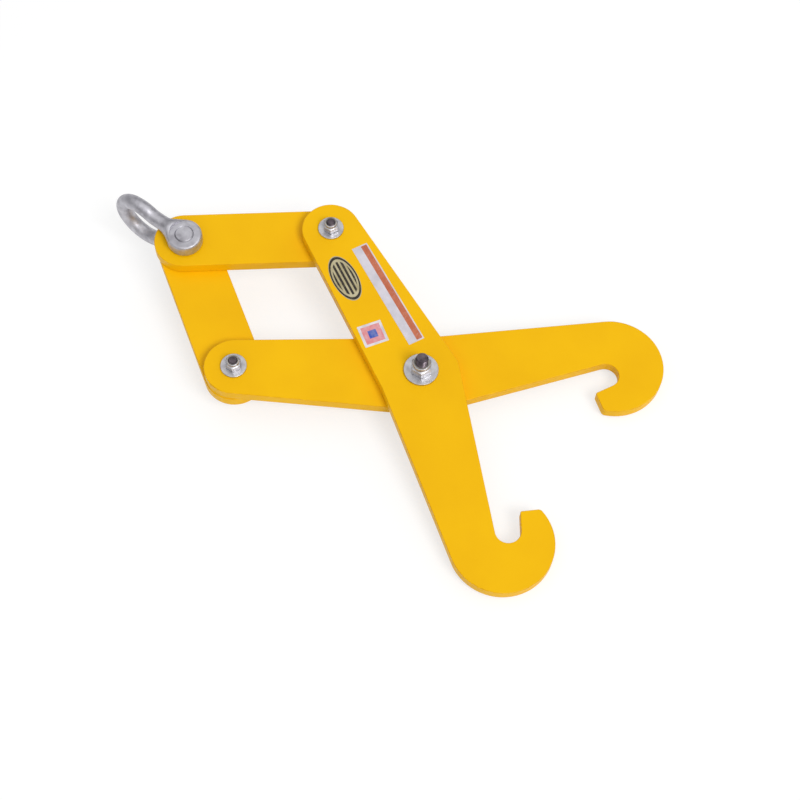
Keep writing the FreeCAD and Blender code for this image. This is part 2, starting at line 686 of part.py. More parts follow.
def make_oval_label(label, place):
    body = new_body(label)
    sketch = new_sketch(body, "Oval", "XY_Plane")
    long_half = size("oval_length") / 2
    short_half = size("oval_width") / 2
    oval = sketch.addGeometry(
        Part.Ellipse(Vector(0, long_half), Vector(short_half, 0), Vector()), False)
    sketch.exposeInternalGeometry(oval)
    sketch.addConstraint(Sketcher.Constraint("Coincident", oval, CENTRE, ROOT, START))
    long_axis = oval + 1
    short_axis = oval + 2
    sketch.addConstraint(Sketcher.Constraint("Vertical", long_axis))
    bind(sketch, Sketcher.Constraint("Distance", long_axis, 2 * long_half), "Sizes.oval_length")
    bind(sketch, Sketcher.Constraint("Distance", short_axis, 2 * short_half), "Sizes.oval_width")
    film = body.newObject("PartDesign::Pad", "Film")
    film.Profile = sketch
    film.setExpression("Length", "Sizes.label_thickness")
    body.Placement = place
    return body


# The pieces of the tongs
pieces = [
    make_bow("shackle_bow", SHACKLE),
    make_pin("shackle_pin", SHACKLE),
    make_link("front_link", FRONT_LINK),
    make_link("rear_link", REAR_LINK),
    make_arm("front_arm", FRONT_ARM),
    make_arm("rear_arm", REAR_ARM),
]
pieces += make_pivot("centre", "centre", 0, 0, middle_layer, -arm_angle)
pieces += make_pivot("front_link", "link", pivot_out, pivot_up, middle_layer, -arm_angle)
pieces += make_pivot("rear_link", "link", -pivot_out, pivot_up, rear_layer, arm_angle)
arm_middle = size("arm_reach") / 2
strip_middle = (size("arm_reach") + size("strip_centre_gap") - size("strip_pivot_gap")) / 2
pieces += [
    make_plain_label("strip_label", "Sizes.strip_width",
                     "Sizes.arm_reach - Sizes.strip_centre_gap - Sizes.strip_pivot_gap",
                     on_front_arm(size("strip_out"), strip_middle, -size("strip_turn"))),
    make_plain_label("square_label", "Sizes.square_width", "Sizes.square_height",
                     on_front_arm(-size("square_in"), arm_middle - size("square_below"),
                                  -size("square_turn"))),
    make_oval_label("oval_label",
                    on_front_arm(-size("oval_in"), arm_middle + size("oval_above"), -size("oval_turn"))),
]
doc.recompute()

# Check every object, then write each piece
for obj in doc.Objects:
    bad = [state for state in obj.State if state in ("Invalid", "Error")]
    if bad:
        raise RuntimeError("%s is %s" % (obj.Label, ", ".join(bad)))
os.makedirs("parts", exist_ok=True)
for piece in pieces:
    if piece.Shape.isNull() or not piece.Shape.isValid() or len(piece.Shape.Solids) != 1:
        raise RuntimeError("%s has no single valid solid" % piece.Label)
    piece.Shape.exportStep("parts/%s.step" % piece.Label)
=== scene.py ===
import json
import math

import bpy
import numpy as np
from bpy.props import FloatProperty, FloatVectorProperty, IntProperty, PointerProperty
from mathutils import Matrix, Vector


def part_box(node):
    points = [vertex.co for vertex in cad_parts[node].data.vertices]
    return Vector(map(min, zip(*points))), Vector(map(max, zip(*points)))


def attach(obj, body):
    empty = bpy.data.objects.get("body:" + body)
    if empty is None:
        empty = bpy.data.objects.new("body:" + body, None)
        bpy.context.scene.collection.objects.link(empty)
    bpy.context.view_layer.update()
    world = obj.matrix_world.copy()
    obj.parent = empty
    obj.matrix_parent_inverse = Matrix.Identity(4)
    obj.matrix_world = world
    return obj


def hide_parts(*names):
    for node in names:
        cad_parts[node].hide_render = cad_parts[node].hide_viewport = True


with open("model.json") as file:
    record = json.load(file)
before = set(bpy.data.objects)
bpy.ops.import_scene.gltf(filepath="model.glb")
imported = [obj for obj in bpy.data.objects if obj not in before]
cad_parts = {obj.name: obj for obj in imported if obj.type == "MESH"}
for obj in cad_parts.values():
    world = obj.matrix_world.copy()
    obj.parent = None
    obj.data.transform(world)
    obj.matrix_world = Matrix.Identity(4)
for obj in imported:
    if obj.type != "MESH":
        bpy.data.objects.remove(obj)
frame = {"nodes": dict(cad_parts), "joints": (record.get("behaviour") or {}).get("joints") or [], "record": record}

bl_info = {
    "name": "Lifting Tongs",
    "version": (1, 0, 0),
    "blender": (4, 5, 0),
    "location": "View3D > Sidebar > Tongs",
    "description": "Dresses a pair of plate lifting tongs and sets them on a plain stage",
    "category": "Object",
}

MM = 0.001
UP = Vector((0, 0, 1))
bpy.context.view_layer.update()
JOINTS = {joint["name"]: Vector(joint["pos_m"]) for joint in frame["joints"]}
MOUNTS = {mount["name"]: mount for mount in frame["record"]["mounts"]}
BODY_OF = {node: body for body, nodes in frame["record"]["behaviour"]["bodies"].items() for node in nodes}

# Each pivot's fasteners share a prefix, and lie on the axis of the joint beside it
PIVOTS = {"centre": "jaw_pivot", "front_link": "front_link_pivot", "rear_link": "rear_link_pivot"}
PLATES = ("front_arm", "rear_arm", "front_link", "rear_link")

# Line of the front arm, which carries the labels
ARM_LINE = JOINTS["front_link_pivot"] - JOINTS["jaw_pivot"]


def srgb(red, green, blue):
    """Scene linear colour of an 8 bit screen colour."""
    shares = (red / 255, green / 255, blue / 255)
    return tuple(c / 12.92 if c <= 0.04045 else ((c + 0.055) / 1.055) ** 2.4 for c in shares)


def colour_property(name, description, default):
    return FloatVectorProperty(
        name=name, description=description, subtype="COLOR", size=3, min=0, max=1, default=default)


def length_property(name, description, default, least=0.0):
    return FloatProperty(name=name, description=description, unit="LENGTH", subtype="DISTANCE",
                         min=least, precision=4, default=default)


def factor_property(name, description, default):
    return FloatProperty(name=name, description=description, subtype="FACTOR", min=0, max=1, default=default)


def angle_property(name, description, degrees):
    return FloatProperty(
        name=name, description=description, subtype="ANGLE", unit="ROTATION", default=math.radians(degrees))


# Sizes and colours that a user would change
class TongsCoat(bpy.types.PropertyGroup):
    """Yellow powder coat on the four plates"""
    colour: colour_property("Colour", "Main colour of the coat", srgb(248, 192, 4))
    deep_colour: colour_property("Deep colour", "Colour where the coat is thicker", srgb(242, 184, 3))
    # Painted shade: the edge colour darkens the rounded edges, where they slant away from the flat faces
    edge_shade_colour: colour_property("Edge colour", "Painted shade on the rounded edges", srgb(208, 142, 8))
    edge_shade_strength: factor_property("Edge shade", "How strongly the edge colour shows", 0.55)
    edge_shade_patch: length_property("Edge patch", "Size of the patches along an edge", 9 * MM)
    roughness: factor_property("Roughness", "Middle roughness of the coat", 0.42)
    roughness_spread: factor_property("Roughness spread", "How far the roughness strays", 0.06)
    cloud_size: length_property("Cloud size", "Size of the slow changes of colour", 70 * MM)
    peel_size: length_property("Peel size", "Size of the orange peel bumps", 2.2 * MM)
    peel_height: length_property("Peel height", "Height of the orange peel bumps", 0.05 * MM)


class TongsMetal(bpy.types.PropertyGroup):
    """Coats of the shackle and the fasteners, and nylon of the lock nuts"""
    zinc_colour: colour_property("Zinc", "Bright zinc plating", srgb(208, 208, 212))
    zinc_shade: colour_property("Zinc shade", "Duller patches of the zinc plating", srgb(176, 174, 178))
    bolt_colour: colour_property("Bolt", "Dark plating of the bolts", srgb(112, 102, 108))
    bolt_shade: colour_property("Bolt shade", "Darkest patches of the bolts", srgb(70, 62, 68))
    dip_colour: colour_property("Dip", "Bright spangle of the hot dip coat", srgb(212, 211, 217))
    dip_shade: colour_property("Dip shade", "Dull spangle of the hot dip coat", srgb(164, 162, 169))
    nylon_colour: colour_property("Nylon", "Ring in the lock nuts", srgb(168, 162, 152))
    nylon_shade: colour_property("Nylon shade", "Handled patches of the rings", srgb(134, 128, 120))
    spangle_size: length_property("Spangle size", "Size of the crystals of the hot dip coat", 5 * MM)
    spangle_share: factor_property("Spangle share", "How much the crystals differ in shade", 0.35)
    grain_size: length_property("Grain size", "Size of the fine grain of the metal", 0.7 * MM)
    grain_share: factor_property("Grain share", "Height of the grain on the hot dip coat's swell", 0.12)


class TongsThread(bpy.types.PropertyGroup):
    """Screw thread of the three bolts"""
    centre_pitch: length_property("Centre pitch", "Pitch of the centre bolt's thread", 25.4 / 13 * MM)
    link_pitch: length_property("Link pitch", "Pitch of the link bolts' threads", 25.4 / 16 * MM)
    depth: factor_property("Depth", "Depth of the thread as a share of its pitch", 0.6)
    length: length_property("Length", "Length of the thread from the bolt's end", 30 * MM)
    head_chamfer: length_property("Head chamfer", "Reach of the head's chamfer inside its flats", 0.5 * MM)
    segments: IntProperty(name="Segments", description="Faces round the bolt", min=24, step=6, default=96)
    steps: IntProperty(name="Steps", description="Faces along one turn of thread", min=4, default=10)


class TongsShackle(bpy.types.PropertyGroup):
    """Forged bow and pin of the shackle"""
    ear_diameter: length_property("Ear diameter", "Diameter of an ear", 36.8 * MM)
    ear_thickness: length_property("Ear thickness", "Thickness of an ear", 15.0 * MM)
    ear_edge: length_property("Ear edge", "Radius of an ear's edge", 2.6 * MM)
    jaw: length_property("Jaw", "Width between the ears", 27.0 * MM)
    stock: length_property("Stock", "Diameter of the bar", 16.0 * MM)
    flare: length_property("Flare", "How far the bow widens past the legs", 5.0 * MM)
    leg_clearance: length_property("Leg clearance", "From the jaw's side to the bar", 0.15 * MM)
    leg_flare_radius: length_property("Leg flare radius", "Bend between a leg and the bow", 30 * MM)
    neck_start: length_property("Neck start", "Middle of the bar's round end, from the pin", 20 * MM)
    neck_blend: length_property("Neck blend", "Size of the fillet between bar and ear", 12 * MM)
    pin_hole: length_property("Pin hole", "Diameter of the hole for the pin", 19.25 * MM)
    countersink: length_property("Countersink", "Chamfer of the holes for the pin and in its eye", 0.5 * MM)
    spot_room: length_property("Spot room", "From the pin's shoulder to the edge of its spot face", 0.5 * MM)
    pin: length_property("Pin", "Diameter of the pin", 19.05 * MM)
    pin_chamfer: length_property("Pin chamfer", "Chamfer of the pin's end", 1.0 * MM)
    collar_diameter: length_property("Collar diameter", "Diameter of the pin's shoulder", 30 * MM)
    collar_thickness: length_property("Collar thickness", "Thickness of the pin's shoulder", 5 * MM)
    eye_diameter: length_property("Eye diameter", "Diameter of the pin's flat eye", 30 * MM)
    eye_thickness: length_property("Eye thickness", "Thickness of the pin's flat eye", 12 * MM)
    eye_hole: length_property("Eye hole", "Diameter of the hole in the eye", 13 * MM)
    eye_edge: length_property("Eye edge", "Radius of the eye's and the shoulder's edges", 2.2 * MM)
    eye_blend: length_property("Eye blend", "Size of the fillet between eye and shoulder", 5 * MM)
    cell: length_property("Cell", "Size of the faces of the forgings", 0.8 * MM)


class TongsLabel(bpy.types.PropertyGroup):
    """Blank labels on the front arm"""
    film_colour: colour_property("Film", "Pale film of the strip", srgb(222, 217, 225))
    film_shade: colour_property("Film shade", "Handled film of the strip", srgb(201, 197, 206))
    band_colour: colour_property("Band", "Band along the strip", srgb(184, 94, 58))
    band_shade: colour_property("Band shade", "Faded parts of the band", srgb(204, 122, 92))
    border_colour: colour_property("Border", "Border of the square", srgb(238, 234, 238))
    field_colour: colour_property("Field", "Field of the square", srgb(222, 132, 136))
    block_colour: colour_property("Block", "Block in the middle of the square", srgb(42, 80, 178))
    oval_colour: colour_property("Oval", "Field of the oval", srgb(196, 186, 152))
    oval_shade: colour_property("Oval shade", "Handled field of the oval", srgb(168, 156, 116))
    rim_colour: colour_property("Rim", "Line round the oval", srgb(38, 32, 24))
    strip_turn: angle_property("Strip turn", "Turn of the strip from the arm's line", 1.5)
    square_turn: angle_property("Square turn", "Turn of the square from the arm's line", 8.0)
    oval_turn: angle_property("Oval turn", "Turn of the oval from the arm's line", 3.4)
    band_inner: length_property("Band inner", "From the strip's middle to the band's inner edge", 1.0 * MM)
    band_outer: length_property("Band outer", "From the strip's middle to the band's outer edge", 7.4 * MM)
    band_end: length_property("Band end", "From the strip's end to the band", 1.5 * MM)
    field_size: length_property("Field size", "Width of the square's field", 20 * MM)
    block_size: length_property("Block size", "Width of the square's block", 9 * MM)
    rim_width: length_property("Rim width", "Width of the oval's line", 1.5 * MM)
    rim_inset: length_property("Rim inset", "From the oval's edge to its line", 0.5 * MM)
    bar_width: length_property("Bar width", "Width of a bar on the oval", 2.5 * MM)
    bar_pitch: length_property("Bar pitch", "From one bar on the oval to the next", 4.6 * MM)
    bar_reach: factor_property("Bar reach", "How much of the oval the bars fill", 0.74)


class TongsStage(bpy.types.PropertyGroup):
    """Camera, light, floor and dark wall"""
    azimuth: angle_property("Azimuth", "Where the camera stands, from -Y towards +X", -62.076)
    elevation: angle_property("Elevation", "How high the camera stands", 64.388)
    roll: angle_property("Roll", "Turn of the camera about its line of sight", 3.938)
    distance: length_property("Distance", "From the camera to the plane of the centre pivot", 1567.87 * MM)
    lens: FloatProperty(
        name="Lens", description="Focal length on a 36 mm sensor", unit="CAMERA", default=70.527)
    aim_across: length_property(
        "Aim across", "Image centre from the centre pivot, to the right", -21.04 * MM, least=-1.0)
    aim_up: length_property(
        "Aim up", "Image centre from the centre pivot, upwards", -29.66 * MM, least=-1.0)
    key_azimuth: angle_property("Key azimuth", "Where the main lamp stands, from -Y towards +X", -18.0)
    key_elevation: angle_property("Key elevation", "How high the main lamp stands", 54.0)
    key_spread: angle_property("Key spread", "Width of the main lamp as the tongs see it", 24.0)
    key_strength: FloatProperty(
        name="Key strength", description="Strength of the main lamp", min=0, default=1.45)
    ambient: factor_property("Ambient", "Strength of the light from all round", 0.62)
    floor_shade: factor_property("Floor shade", "Share of light that the floor gives back", 0.8)
    floor_shadow: factor_property("Floor shadow", "How strongly the shadow on the floor is seen", 0.4)
    wall_colour: colour_property("Wall", "Dark wall that only the metal mirrors", srgb(92, 92, 96))
    wall_distance: length_property("Wall distance", "From the tongs to the dark wall", 2.2)
    wall_low: length_property("Wall low", "Height of the dark wall's lower edge", 0.25)
    wall_high: length_property("Wall high", "Height of the dark wall's upper edge", 1.5)
    floor_size: length_property("Floor size", "Width of the floor", 8.0)
    fade_start: length_property("Fade start", "Where the floor starts to fade to white", 0.45)
    fade_end: length_property("Fade end", "Where the floor is all white", 0.85)


SETTINGS = {
    "tongs_coat": TongsCoat,
    "tongs_metal": TongsMetal,
    "tongs_thread": TongsThread,
    "tongs_shackle": TongsShackle,
    "tongs_label": TongsLabel,
    "tongs_stage": TongsStage,
}


# Helpers for shader nodes
class Nodes:
    """Adds nodes to one shader tree."""

    def __init__(self, tree):
        self.tree = tree

    def fill(self, socket, value):
        """Gives a socket a value, or a link from another socket."""
        if isinstance(value, bpy.types.NodeSocket):
            self.tree.links.new(value, socket)
        elif socket.type == "RGBA":
            socket.default_value = (*value, 1.0)
        else:
            socket.default_value = value

    def set_inputs(self, node, **inputs):
        """Fills a node's inputs by name, where _ stands for a space."""
        for name, value in inputs.items():
            self.fill(node.inputs[name.replace("_", " ")], value)

    def add(self, kind, settings=None, **inputs):
        """A new node with its settings and its named inputs."""
        node = self.tree.nodes.new(kind)
        for name, value in (settings or {}).items():
            setattr(node, name, value)
        self.set_inputs(node, **inputs)
        return node

    def ordered(self, kind, settings, *values):
        """First output of a new node, whose inputs are filled in their order."""
        node = self.add(kind, settings)
        for socket, value in zip(node.inputs, values):
            self.fill(socket, value)
        return node.outputs[0]

    def maths(self, operation, *values):
        return self.ordered("ShaderNodeMath", {"operation": operation}, *values)

    def mix_shaders(self, factor, first, second):
        return self.ordered("ShaderNodeMixShader", None, factor, first, second)

    def mix_colours(self, factor, first, second):
        node = self.add("ShaderNodeMix", {"data_type": "RGBA"}, Factor=factor)
        first_socket, second_socket = [socket for socket in node.inputs if socket.type == "RGBA"]
        self.fill(first_socket, first)
        self.fill(second_socket, second)
        return [socket for socket in node.outputs if socket.type == "RGBA"][0]

    def smooth_step(self, value, low, high):
        node = self.add("ShaderNodeMapRange", {"interpolation_type": "SMOOTHSTEP"},
                        Value=value, From_Min=low, From_Max=high)
        return node.outputs["Result"]

    def noise(self, vector, scale, detail):
        node = self.add("ShaderNodeTexNoise", Vector=vector, Scale=scale, Detail=detail)
        return node.outputs["Fac"]


def empty_tree(owner):
    """The emptied node tree of a material or a world."""
    owner.use_nodes = True
    owner.node_tree.nodes.clear()
    return owner.node_tree


# Effects for the finishes
class Effect(Nodes):
    """A shader node group over a place on a piece, with numbers to set it and one output."""

    def __init__(self, name, output, **numbers):
        super().__init__(bpy.data.node_groups.new(name, "ShaderNodeTree"))
        sockets = self.tree.interface
        sockets.new_socket("Vector", in_out="INPUT", socket_type="NodeSocketVector")
        for number, default in numbers.items():
            made = sockets.new_socket(number, in_out="INPUT", socket_type="NodeSocketFloat")
            made.default_value = default
        sockets.new_socket(output, in_out="OUTPUT", socket_type="NodeSocketFloat")
        self.given = self.tree.nodes.new("NodeGroupInput").outputs
        self.out = self.tree.nodes.new("NodeGroupOutput").inputs[output]

    def put_out(self, value):
        self.fill(self.out, value)
        return self.tree


def clouds_effect(name):
    """Slow, cloudy change between Low and High."""
    effect = Effect(name, "Value", Scale=10.0, Detail=3.0, Low=0.0, High=1.0)
    given = effect.given
    cloud = effect.noise(given["Vector"], given["Scale"], given["Detail"])
    spread = effect.add("ShaderNodeMapRange", Value=cloud, From_Min=0.3, From_Max=0.7,
                        To_Min=given["Low"], To_Max=given["High"])
    return effect.put_out(spread.outputs["Result"])


def grain_effect(name, finer=3.7):
    """Height of a coarse swell with a finer grain on it."""
    effect = Effect(name, "Height", Scale=400.0, Fine=0.4)
    given = effect.given
    swell = effect.noise(given["Vector"], given["Scale"], detail=1.0)
    fine_scale = effect.maths("MULTIPLY", given["Scale"], finer)
    fine = effect.noise(given["Vector"], fine_scale, detail=2.0)
    return effect.put_out(effect.maths("MULTIPLY_ADD", fine, given["Fine"], swell))


def edge_shade_effect(name):
    """Mask of painted shade on the rounded edges of a piece that lies flat, broken up by noise."""
    effect = Effect(name, "Mask", Scale=60.0, Amount=0.5)
    given = effect.given
    coordinate = effect.add("ShaderNodeTexCoord")
    normal = effect.add("ShaderNodeSeparateXYZ", Vector=coordinate.outputs["Normal"])
    upright = effect.maths("ABSOLUTE", normal.outputs["Z"])
    slanted = effect.maths("SUBTRACT", 1.0, upright)
    # The product is a quarter at most, so four times it reaches 1
    edge = effect.maths("MULTIPLY", effect.maths("MULTIPLY", upright, slanted), 4.0)
    patches = effect.noise(given["Vector"], given["Scale"], detail=4.0)
    shown = effect.maths("MULTIPLY", edge, effect.smooth_step(patches, low=0.25, high=0.6))
    return effect.put_out(effect.maths("MULTIPLY", shown, given["Amount"]))


def scuffs_effect(name):
    """Mask of fine scratches that run across each other."""
    effect = Effect(name, "Mask", Scale=90.0, Amount=0.5)
    given = effect.given
    scratches = 0.0
    for turn, stretch in ((0.5, 14.0), (2.1, 18.0), (1.3, 22.0)):
        laid = effect.add("ShaderNodeMapping", Vector=given["Vector"],
                          Rotation=(0, 0, turn), Scale=(1, stretch, 1))
        streaks = effect.noise(laid.outputs["Vector"], given["Scale"], detail=1.0)
        scratches = effect.maths("MAXIMUM", scratches, effect.smooth_step(streaks, low=0.66, high=0.74))
    return effect.put_out(effect.maths("MULTIPLY", scratches, given["Amount"]))


# Finishes
class Finish(Nodes):
    """A material with one Principled shader, laid out in its piece's own coordinates."""

    def __init__(self, name):
        self.material = bpy.data.materials.new(name)
        super().__init__(empty_tree(self.material))
        self.shader = self.add("ShaderNodeBsdfPrincipled")
        self.add("ShaderNodeOutputMaterial", Surface=self.shader.outputs["BSDF"])
        self.place = self.add("ShaderNodeTexCoord").outputs["Object"]

    def use_effect(self, name, build, size, **numbers):
        """Adds an effect of this size. Its group is built when it is first used."""
        node = self.add("ShaderNodeGroup")
        node.node_tree = bpy.data.node_groups.get(name) or build(name)
        self.set_inputs(node, Vector=self.place, Scale=1 / size, **numbers)
        return node.outputs[0]

    def clouds(self, size, low=0.0, high=1.0, detail=3.0):
        return self.use_effect("Clouds", clouds_effect, size, Low=low, High=high, Detail=detail)

    def cloudy(self, first, second, size, **range_and_detail):
        """Colour that changes slowly from one to another."""
        return self.mix_colours(self.clouds(size, **range_and_detail), first, second)

    def grain(self, size, fine=0.4):
        return self.use_effect("Grain", grain_effect, size, Fine=fine)

    # Painted shade on the rounded edges
    def edges(self, size, amount):
        return self.use_effect("Edge", edge_shade_effect, size, Amount=amount)

    def scuffs(self, size, amount):
        return self.use_effect("Scuffs", scuffs_effect, size, Amount=amount)

    def bump(self, height, strength, distance):
        node = self.add("ShaderNodeBump", Height=height, Strength=strength, Distance=distance)
        return node.outputs["Normal"]

    def dress(self, **inputs):
        """Sets inputs of the shader and gives the material."""
        self.set_inputs(self.shader, **inputs)
        return self.material


def coat_finish(coat):
    finish = Finish("yellow_coat")
    colour = finish.cloudy(coat.colour, coat.deep_colour, size=coat.cloud_size)
    # Painted shade darkens the rounded edges in patches
    edge = finish.edges(size=coat.edge_shade_patch, amount=coat.edge_shade_strength)
    smooth, rough = coat.roughness - coat.roughness_spread, coat.roughness + coat.roughness_spread
    peel = finish.grain(coat.peel_size, fine=0.35)
    return finish.dress(
        Base_Color=finish.mix_colours(edge, colour, coat.edge_shade_colour),
        Roughness=finish.clouds(size=6 * MM, low=smooth, high=rough), Specular_IOR_Level=0.14,
        Normal=finish.bump(peel, strength=0.55, distance=coat.peel_height))


def zinc_finish(metal):
    finish = Finish("zinc_plate")
    colour = finish.cloudy(metal.zinc_colour, metal.zinc_shade, size=7 * MM)
    wear = finish.scuffs(size=9 * MM, amount=0.5)
    return finish.dress(
        Base_Color=finish.mix_colours(wear, colour, metal.zinc_shade), Metallic=1.0,
        Roughness=finish.clouds(size=4 * MM, low=0.34, high=0.48),
        Normal=finish.bump(finish.grain(metal.grain_size), strength=0.25, distance=0.02 * MM))


def bolt_finish(metal):
    finish = Finish("dark_plate")
    return finish.dress(
        Base_Color=finish.cloudy(metal.bolt_colour, metal.bolt_shade, size=5 * MM), Metallic=0.85,
        Roughness=finish.clouds(size=3 * MM, low=0.26, high=0.4),
        Normal=finish.bump(finish.grain(metal.grain_size), strength=0.3, distance=0.03 * MM))


def dip_finish(metal):
    finish = Finish("hot_dip")
    spangle = finish.add("ShaderNodeTexVoronoi", {"feature": "SMOOTH_F1"}, Vector=finish.place,
                         Scale=1 / metal.spangle_size, Smoothness=0.6)
    crystal = finish.add("ShaderNodeSeparateColor", Color=spangle.outputs["Color"])
    cloud = finish.clouds(size=16 * MM, high=0.7)
    patch = finish.maths("MULTIPLY_ADD", crystal.outputs["Red"], metal.spangle_share, cloud)
    swell = finish.clouds(size=6 * MM)
    height = finish.maths("MULTIPLY_ADD", finish.grain(metal.grain_size), metal.grain_share, swell)
    return finish.dress(
        Base_Color=finish.mix_colours(patch, metal.dip_colour, metal.dip_shade), Metallic=0.9,
        Roughness=finish.clouds(size=5 * MM, low=0.42, high=0.6),
        Normal=finish.bump(height, strength=0.5, distance=0.25 * MM))


def nylon_finish(metal):
    finish = Finish("nylon")
    return finish.dress(
        Base_Color=finish.cloudy(metal.nylon_colour, metal.nylon_shade, size=3 * MM),
        Roughness=finish.clouds(size=2 * MM, low=0.42, high=0.58),
        Normal=finish.bump(finish.grain(metal.grain_size), strength=0.2, distance=0.03 * MM))


# Half the width of the soft border between two colours of a film
SOFT_EDGE = 0.12 * MM


class Film(Finish):
    """A satin film without its colour, laid out across and along its label from the middle."""

    def __init__(self, name, label, turn):
        super().__init__(name)
        self.label = frame["nodes"][label]
        self.turn = turn
        low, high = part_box(label)
        line = math.atan2(-ARM_LINE.x, ARM_LINE.y) - turn
        laid = self.add("ShaderNodeMapping", {"vector_type": "TEXTURE"}, Vector=self.place,
                        Location=(low + high) / 2, Rotation=(0, 0, line))
        ways = self.add("ShaderNodeSeparateXYZ", Vector=laid.outputs["Vector"]).outputs
        self.across, self.along = ways["X"], ways["Y"]
        self.dress(Roughness=self.clouds(size=8 * MM, low=0.3, high=0.5), Specular_IOR_Level=0.4,
                   Normal=self.bump(self.grain(size=1.2 * MM), strength=0.15, distance=0.03 * MM))

    def half_size(self, turned=0.0):
        """Half the label's size along its own line, or along a line that is turned from it."""
        line = Matrix.Rotation(-self.turn - turned, 3, "Z") @ ARM_LINE.normalized()
        reach = [corner.co.dot(line) for corner in self.label.data.vertices]
        return (max(reach) - min(reach)) / 2

    def past(self, value, edge, soft=SOFT_EDGE):
        """1 where the value lies past the edge, with a soft border."""
        return self.smooth_step(value, edge - soft, edge + soft)

    def inside(self, value, low, high):
        """1 where the value lies between low and high, with soft borders."""
        return self.maths("SUBTRACT", self.past(value, low), self.past(value, high))


def strip_finish(label):
    film = Film("strip_film", "strip_label", label.strip_turn)
    half = film.half_size()
    ground = film.cloudy(label.film_colour, label.film_shade, size=12 * MM)
    band = film.cloudy(label.band_colour, label.band_shade, size=7 * MM, high=0.8, detail=5.0)
    wide = film.inside(film.across, label.band_inner, label.band_outer)
    tall = film.inside(film.along, label.band_end - half, half - label.band_end)
    colour = film.mix_colours(film.maths("MULTIPLY", wide, tall), ground, band)
    wear = film.scuffs(size=12 * MM, amount=0.25)
    return film.dress(Base_Color=film.mix_colours(wear, colour, label.film_shade))


def square_finish(label):
    film = Film("square_film", "square_label", label.square_turn)
    ring = film.maths("MAXIMUM", film.maths("ABSOLUTE", film.across), film.maths("ABSOLUTE", film.along))
    faded = film.clouds(size=4 * MM, high=0.3, detail=5.0)
    field = film.mix_colours(faded, label.field_colour, label.border_colour)
    block = film.mix_colours(faded, label.block_colour, label.film_shade)
    border = film.cloudy(label.border_colour, label.film_shade, size=9 * MM)
    middle = film.mix_colours(film.past(ring, label.block_size / 2), block, field)
    return film.dress(Base_Color=film.mix_colours(film.past(ring, label.field_size / 2), middle, border))


def oval_finish(label):
    film = Film("oval_film", "oval_label", label.oval_turn)
    half_length, half_width = film.half_size(), film.half_size(turned=math.pi / 2)
    squares = []
    for way, half in ((film.across, half_width), (film.along, half_length)):
        share = film.maths("DIVIDE", film.maths("ABSOLUTE", way), half)
        squares.append(film.maths("POWER", share, 2.0))
    reach = film.maths("SQRT", film.maths("ADD", *squares))
    depth = film.maths("MULTIPLY", film.maths("SUBTRACT", 1.0, reach), half_width)
    rim = film.inside(depth, label.rim_inset, label.rim_inset + label.rim_width)
    swing = film.maths("PINGPONG", film.across, label.bar_pitch / 2)
    bars = film.maths("SUBTRACT", 1.0, film.past(swing, label.bar_width / 2))
    middle = film.maths("SUBTRACT", 1.0, film.past(reach, label.bar_reach, soft=0.01))
    dark = film.maths("MAXIMUM", rim, film.maths("MULTIPLY", bars, middle))
    field = film.cloudy(label.oval_colour, label.oval_shade, size=10 * MM)
    colour = film.mix_colours(dark, field, label.rim_colour)
    wear = film.scuffs(size=10 * MM, amount=0.35)
    return film.dress(Base_Color=film.mix_colours(wear, colour, label.oval_shade))


def paint(piece, material):
    if not piece.material_slots:
        piece.data.materials.append(material)
    for slot in piece.material_slots:
        slot.material = material


# Helpers for meshes
def link(name, data):
    """A new object in the scene."""
    made = bpy.data.objects.new(name, data)
    bpy.context.scene.collection.objects.link(made)
    return made


def new_piece(name, vertices, faces):
    mesh = bpy.data.meshes.new(name)
    mesh.from_pydata([tuple(vertex) for vertex in vertices], [], faces)
    mesh.update()
    return link(name, mesh)


def shade(piece, sharp_degrees):
    piece.data.shade_smooth()
    piece.data.set_sharp_from_angle(angle=math.radians(sharp_degrees))


def round_angles(count):
    return np.arange(count) * 2 * math.pi / count


def ring_faces(rows, segments):
    """Quads between rows of vertices that each go once round."""
    steps = [(step, (step + 1) % segments) for step in range(segments)]
    return [(low + step, low + after, low + segments + after, low + segments + step)
            for low in range(0, (rows - 1) * segments, segments) for step, after in steps]


def lathe(name, centre, rows, segments, start_angle=0.0):
    """A closed piece round the Z axis, from rows of height and radius. A radius may vary round its row."""
    angles = start_angle + round_angles(segments)
    vertices = []
    for height, radius in rows:
        reach = np.broadcast_to(radius, segments)
        vertices += [(centre.x + r * math.cos(a), centre.y + r * math.sin(a), height)
                     for r, a in zip(reach, angles)]
    faces = ring_faces(len(rows), segments)
    last = (len(rows) - 1) * segments
    bottom = len(vertices)
    vertices += [(centre.x, centre.y, rows[0][0]), (centre.x, centre.y, rows[-1][0])]
    for step in range(segments):
        after = (step + 1) % segments
        faces.append((bottom, after, step))
        faces.append((bottom + 1, last + step, last + after))
    return new_piece(name, vertices, faces)


def disc_rows(middle, half, radius):
    """Rows of a plain disc for the lathe."""
    return [(middle - half, radius), (middle + half, radius)]


def bake_modifiers(piece):
    """Replaces a piece's mesh by the one that its modifiers make."""
    bpy.context.view_layer.update()
    graph = bpy.context.evaluated_depsgraph_get()
    made = bpy.data.meshes.new_from_object(piece.evaluated_get(graph))
    old = piece.data
    piece.modifiers.clear()
    piece.data = made
    made.name = piece.name
    bpy.data.meshes.remove(old)


def mesh_points(piece):
    points = np.zeros(len(piece.data.vertices) * 3)
    piece.data.vertices.foreach_get("co", points)
    return points.reshape(-1, 3)


def settle(piece, field, rounds=4, probe=0.02 * MM, least_slope=0.5):
    """Moves every vertex onto the surface where the field is zero."""
    points = mesh_points(piece)
    for _ in range(rounds):
        slope = np.stack([(field(points + step) - field(points - step)) / (2 * probe)
                          for step in np.eye(3) * probe], axis=1)
        size = np.maximum((slope ** 2).sum(axis=1), least_slope ** 2)
        points -= slope * (field(points) / size)[:, None]
    piece.data.vertices.foreach_set("co", points.ravel())
    piece.data.update()


